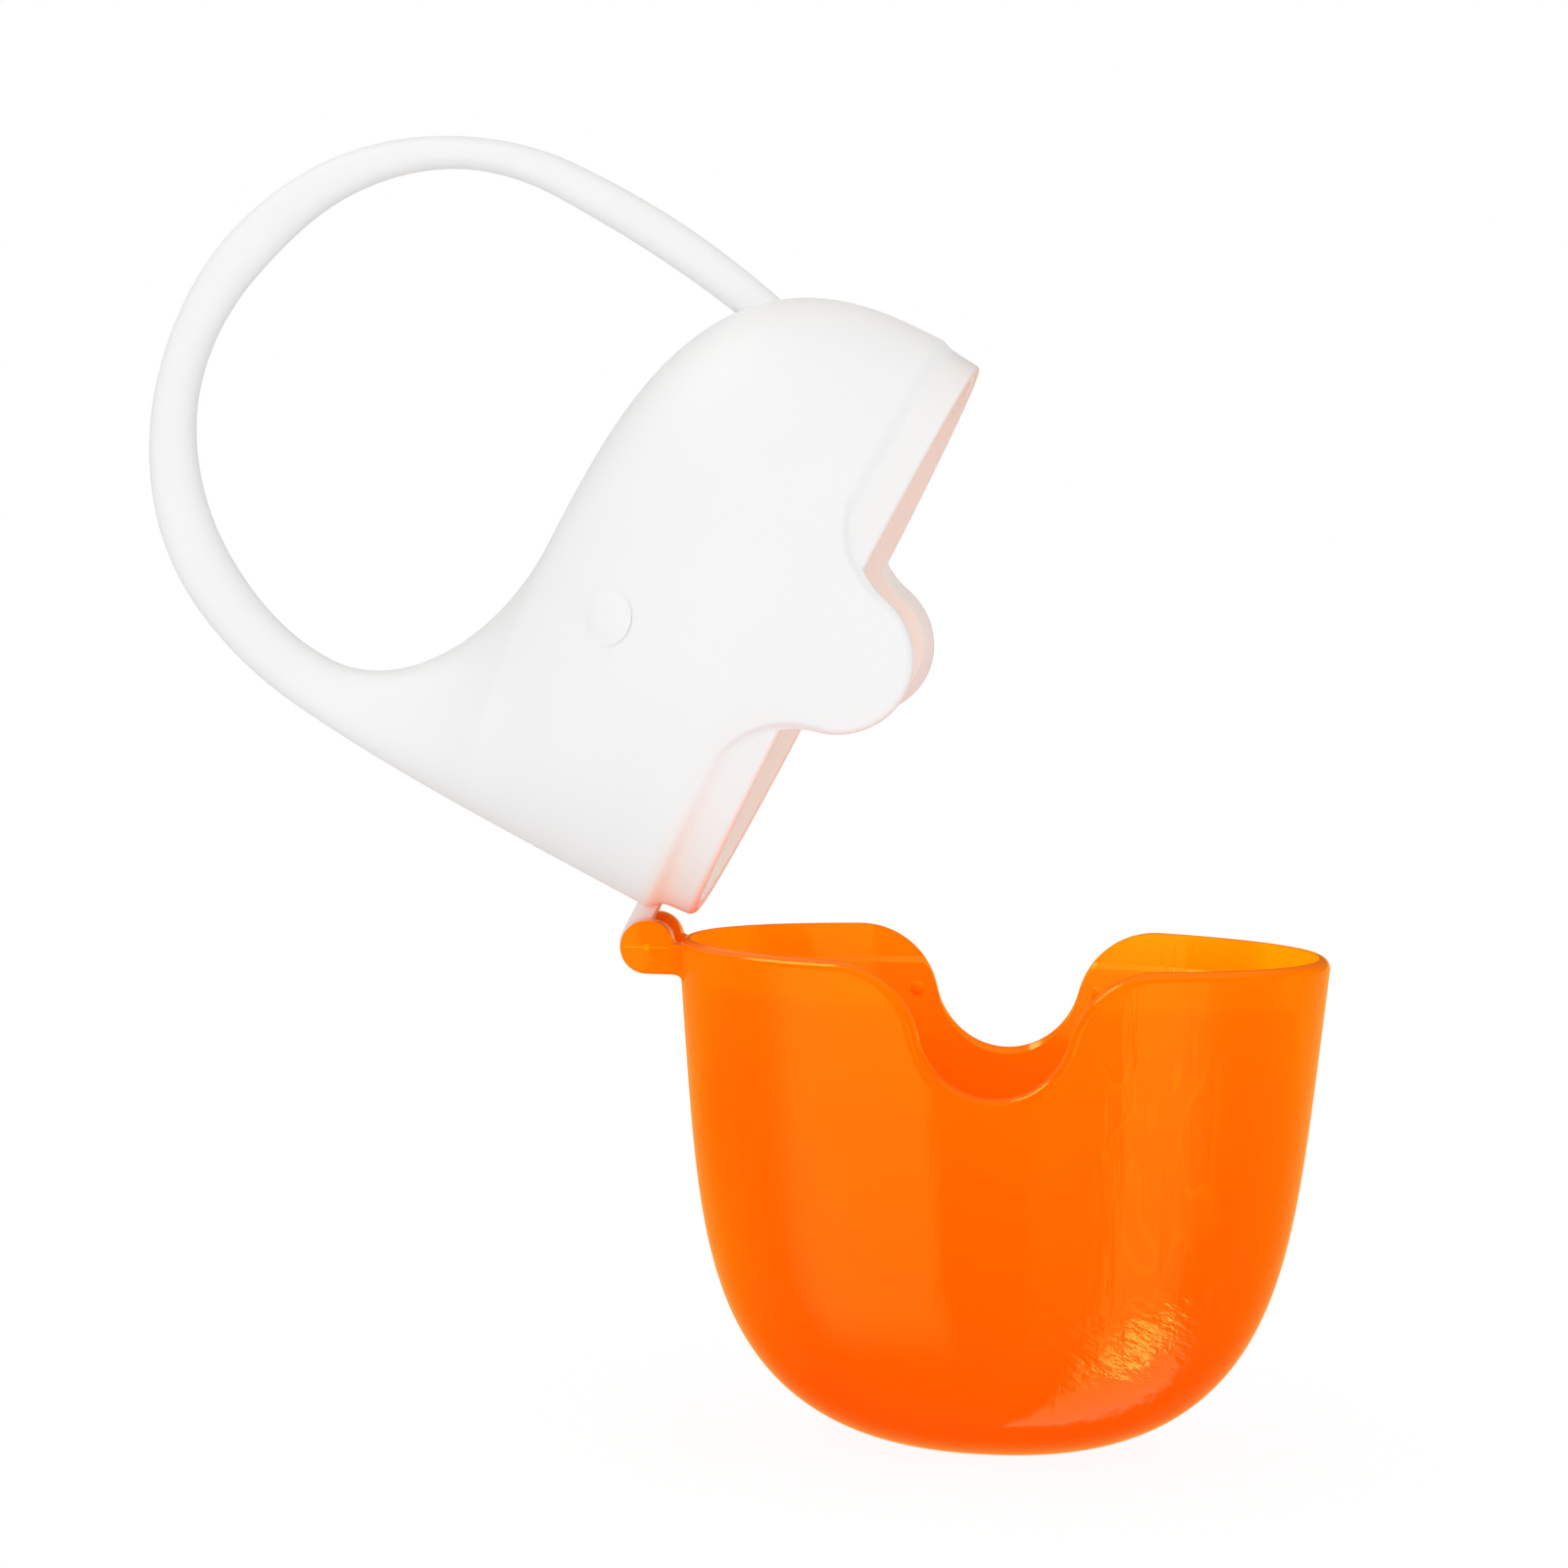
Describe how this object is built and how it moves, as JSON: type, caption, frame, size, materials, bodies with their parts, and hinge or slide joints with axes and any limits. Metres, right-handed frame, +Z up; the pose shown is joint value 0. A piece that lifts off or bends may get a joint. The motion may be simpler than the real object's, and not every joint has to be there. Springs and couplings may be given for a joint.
{
  "type": "pacifier case",
  "caption": "Oval drop-shaped pacifier case: deep bowl with finger notches, hinged domed lid with matching tongues and a carry loop growing out of the lid.",
  "frame": {"origin": "centre of the bowl's flat base", "axes": "+Z up out of the bowl, -X towards the hinge, -Y towards the front; the lid is stored at its pictured opening of 64 degrees"},
  "size_m": [0.1289, 0.0406, 0.1398],
  "materials": {
    "bowl_plastic": "clear glossy orange, moulded, slightly wavy inside",
    "pin_plastic": "satin white",
    "shell_plastic": "satin white",
    "soft_cover": "matt white, soft to the touch",
    "liner_plastic": "satin pale peach",
    "soft_loop": "matt white, bends by hand"
  },
  "bodies": {
    "case_bowl": {"bowl": "bowl_plastic", "hinge_pin": "pin_plastic"},
    "case_lid": {"lid_shell": "shell_plastic", "lid_cover": "soft_cover", "lid_liner": "liner_plastic", "carry_loop": "soft_loop"}
  },
  "joints": [
    {"name": "lid_hinge", "type": "hinge", "parent": "case_bowl", "child": "case_lid", "pos_m": [-0.03795, 0, 0.05345], "axis": [0, -1, 0], "range_deg": [-64, 66]}
  ]
}
